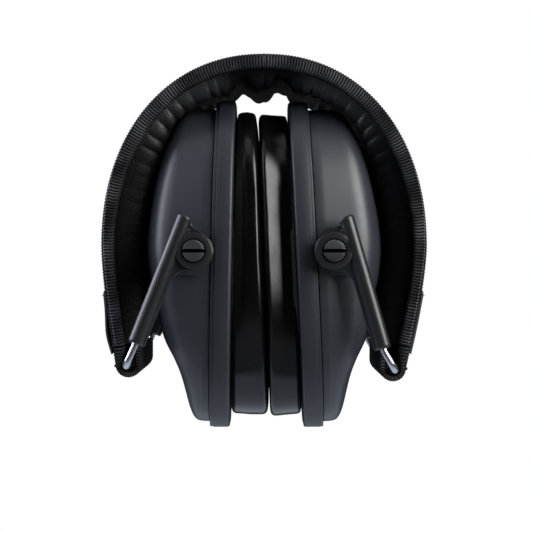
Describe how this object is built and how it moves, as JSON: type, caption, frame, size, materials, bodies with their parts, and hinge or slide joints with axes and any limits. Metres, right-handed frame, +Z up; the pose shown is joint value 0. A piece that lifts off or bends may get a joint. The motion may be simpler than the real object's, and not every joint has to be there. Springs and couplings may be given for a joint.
{
  "type": "earmuff hearing protector",
  "caption": "Folding over-ear hearing protector: slim sealed cups on slotted pivots and sliding wire yokes, folded inside a padded fabric headband",
  "frame": {"origin": "centre of the bounding box at the surface that the folded earmuff stands on", "axes": "+Z up through the crown of the band, X across the band, -Y the front"},
  "size_m": [0.1064, 0.0848, 0.123],
  "materials": {
    "cover_fabric": "smooth woven nylon, satin",
    "binding_tape": "ribbed grosgrain tape",
    "lining_leather": "pleated artificial leather, semi-gloss",
    "spring_steel": "blued strip",
    "sleeve_nylon": "plain",
    "wire_steel": "bright drawn wire",
    "arm_plastic": "fine moulded texture",
    "screw_plastic": "fine moulded texture",
    "shell_plastic": "satin moulded",
    "ring_plastic": "fine spark texture",
    "cushion_vinyl": "glossy soft vinyl skin over foam",
    "plate_plastic": "plain",
    "foam": "open-cell foam"
  },
  "bodies": {
    "crown": {"crown_cover": "cover_fabric", "crown_spring_strip": "spring_steel", "crown_lining": "lining_leather", "crown_binding_front": "binding_tape", "crown_binding_back": "binding_tape"},
    "left_leg": {"left_upper_panel": "cover_fabric", "left_lower_panel": "cover_fabric", "left_end_flap": "cover_fabric", "left_spring_strip": "spring_steel", "left_lining": "lining_leather", "left_binding_front": "binding_tape", "left_binding_back": "binding_tape", "left_end_loop": "binding_tape", "left_hinge_sleeve": "sleeve_nylon", "left_tab": "binding_tape"},
    "left_wire": {"left_wire_yoke": "wire_steel"},
    "left_arms": {"left_arm_front": "arm_plastic", "left_arm_back": "arm_plastic"},
    "left_cup": {"left_screw_front": "screw_plastic", "left_screw_back": "screw_plastic", "left_cup_shell": "shell_plastic", "left_seal_ring": "ring_plastic", "left_cushion_plate": "plate_plastic", "left_cushion": "cushion_vinyl", "left_foam_liner": "foam"},
    "right_leg": {"right_upper_panel": "cover_fabric", "right_lower_panel": "cover_fabric", "right_end_flap": "cover_fabric", "right_spring_strip": "spring_steel", "right_lining": "lining_leather", "right_binding_front": "binding_tape", "right_binding_back": "binding_tape", "right_end_loop": "binding_tape", "right_hinge_sleeve": "sleeve_nylon", "right_tab": "binding_tape"},
    "right_wire": {"right_wire_yoke": "wire_steel"},
    "right_arms": {"right_arm_front": "arm_plastic", "right_arm_back": "arm_plastic"},
    "right_cup": {"right_screw_front": "screw_plastic", "right_screw_back": "screw_plastic", "right_cup_shell": "shell_plastic", "right_seal_ring": "ring_plastic", "right_cushion_plate": "plate_plastic", "right_cushion": "cushion_vinyl", "right_foam_liner": "foam"}
  },
  "joints": [
    {"name": "left_flex", "type": "hinge", "parent": "crown", "child": "left_leg", "pos_m": [-0.02072, 0, 0.11965], "axis": [0, 1, 0], "range_deg": [0, 27.4], "deforming": ["left_lining", "crown_lining"]},
    {"name": "left_fold", "type": "hinge", "parent": "left_leg", "child": "left_wire", "pos_m": [-0.0442, 0, 0.0216], "axis": [0, 1, 0], "range_deg": [0, 128]},
    {"name": "left_height", "type": "slide", "parent": "left_wire", "child": "left_arms", "axis": [0.3649, 0, 0.9311], "range_m": [0, 0.0151]},
    {"name": "left_swing", "type": "hinge", "parent": "left_arms", "child": "left_cup", "pos_m": [-0.0224, 0, 0.0585], "axis": [0, 1, 0], "range_deg": [-155.45, 0], "deforming": ["left_cushion"]},
    {"name": "right_flex", "type": "hinge", "parent": "crown", "child": "right_leg", "pos_m": [0.02072, 0, 0.11965], "axis": [0, -1, 0], "range_deg": [0, 28.26], "deforming": ["right_lining"]},
    {"name": "right_fold", "type": "hinge", "parent": "right_leg", "child": "right_wire", "pos_m": [0.042, 0, 0.0203], "axis": [0, -1, 0], "range_deg": [0, 132]},
    {"name": "right_height", "type": "slide", "parent": "right_wire", "child": "right_arms", "axis": [-0.2756, 0, 0.9613], "range_m": [0, 0.0151]},
    {"name": "right_swing", "type": "hinge", "parent": "right_arms", "child": "right_cup", "pos_m": [0.0224, 0, 0.0585], "axis": [0, -1, 0], "range_deg": [-160.31, 0], "deforming": ["right_cushion"]}
  ],
  "couplings": [
    {"joint": "left_flex", "follows": "left_fold", "ratio": 0.2137},
    {"joint": "left_height", "follows": "left_fold", "m_per_rad": 0.006714},
    {"joint": "left_swing", "follows": "left_fold", "ratio": -1.2137},
    {"joint": "right_flex", "follows": "right_fold", "ratio": 0.2137},
    {"joint": "right_height", "follows": "right_fold", "m_per_rad": 0.006511},
    {"joint": "right_swing", "follows": "right_fold", "ratio": -1.2137}
  ]
}
